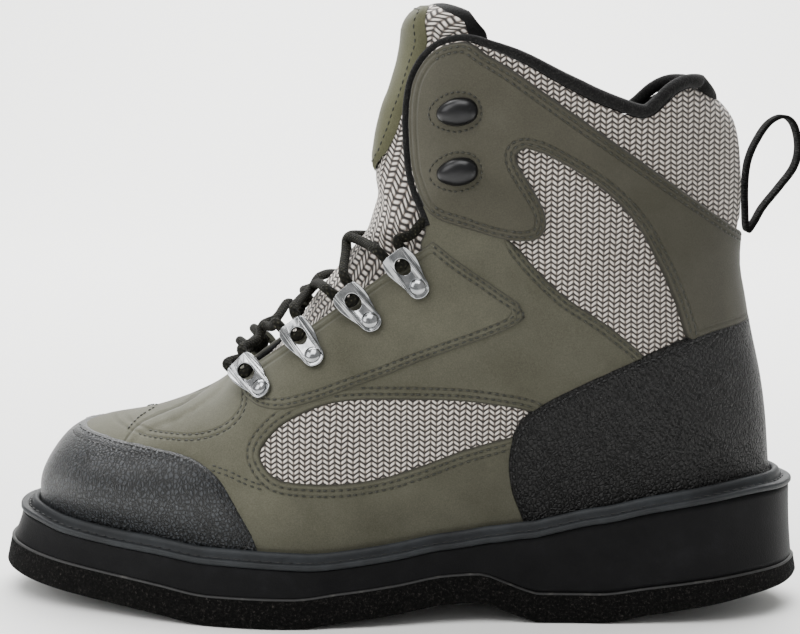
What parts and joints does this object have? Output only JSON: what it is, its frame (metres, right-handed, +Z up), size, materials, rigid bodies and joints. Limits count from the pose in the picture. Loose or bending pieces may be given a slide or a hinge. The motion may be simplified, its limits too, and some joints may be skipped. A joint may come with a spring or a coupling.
{
  "type": "wading boot",
  "caption": "Felt-soled lace-up wading boot for the left foot: hollow upper with overlays, padded tongue, lace rings, hooks and pull loop.",
  "frame": {"origin": "on the floor below the middle of the boot's box", "axes": "+X from toe to heel, +Y towards the inner side of the foot, +Z up"},
  "size_m": [0.33, 0.1188, 0.2447],
  "materials": {
    "felt": "matt black needle felt",
    "midsole_rubber": "satin black",
    "welt_rubber": "satin dark grey",
    "insole_foam": "matt",
    "mesh_and_lining": "beige air mesh",
    "grained_leather": "grained, low sheen",
    "nubuck": "matt olive nubuck",
    "tongue_mesh": "beige mesh",
    "patch_nubuck": "matt olive nubuck",
    "binding": "matt black",
    "webbing": "matt black",
    "chrome_plate": "polished",
    "moulded_hook": "glossy black",
    "lace_cord": "round braided cord"
  },
  "bodies": {
    "root": {"felt_outsole": "felt", "midsole": "midsole_rubber", "welt": "welt_rubber", "insole": "insole_foam", "upper": "mesh_and_lining", "toe_cap": "grained_leather", "heel_counter": "grained_leather", "vamp_and_quarter": "nubuck", "ankle_band": "nubuck", "lace_facing_outer": "nubuck", "lace_facing_inner": "nubuck", "tongue": "tongue_mesh", "tongue_patch": "patch_nubuck", "collar_binding": "binding", "pull_loop": "webbing", "lace_ring_outer_1": "chrome_plate", "lace_ring_outer_2": "chrome_plate", "lace_ring_outer_3": "chrome_plate", "lace_ring_outer_4": "chrome_plate", "rivet_outer_1": "chrome_plate", "rivet_outer_2": "chrome_plate", "rivet_outer_3": "chrome_plate", "rivet_outer_4": "chrome_plate", "lace_ring_inner_1": "chrome_plate", "lace_ring_inner_2": "chrome_plate", "lace_ring_inner_3": "chrome_plate", "lace_ring_inner_4": "chrome_plate", "rivet_inner_1": "chrome_plate", "rivet_inner_2": "chrome_plate", "rivet_inner_3": "chrome_plate", "rivet_inner_4": "chrome_plate", "hook_outer_1": "moulded_hook", "hook_outer_2": "moulded_hook", "hook_inner_1": "moulded_hook", "hook_inner_2": "moulded_hook", "lace_bar": "lace_cord", "lace_crossing_1": "lace_cord", "lace_crossing_2": "lace_cord", "lace_crossing_3": "lace_cord", "lace_end_outer": "lace_cord", "lace_end_inner": "lace_cord"}
  },
  "joints": []
}
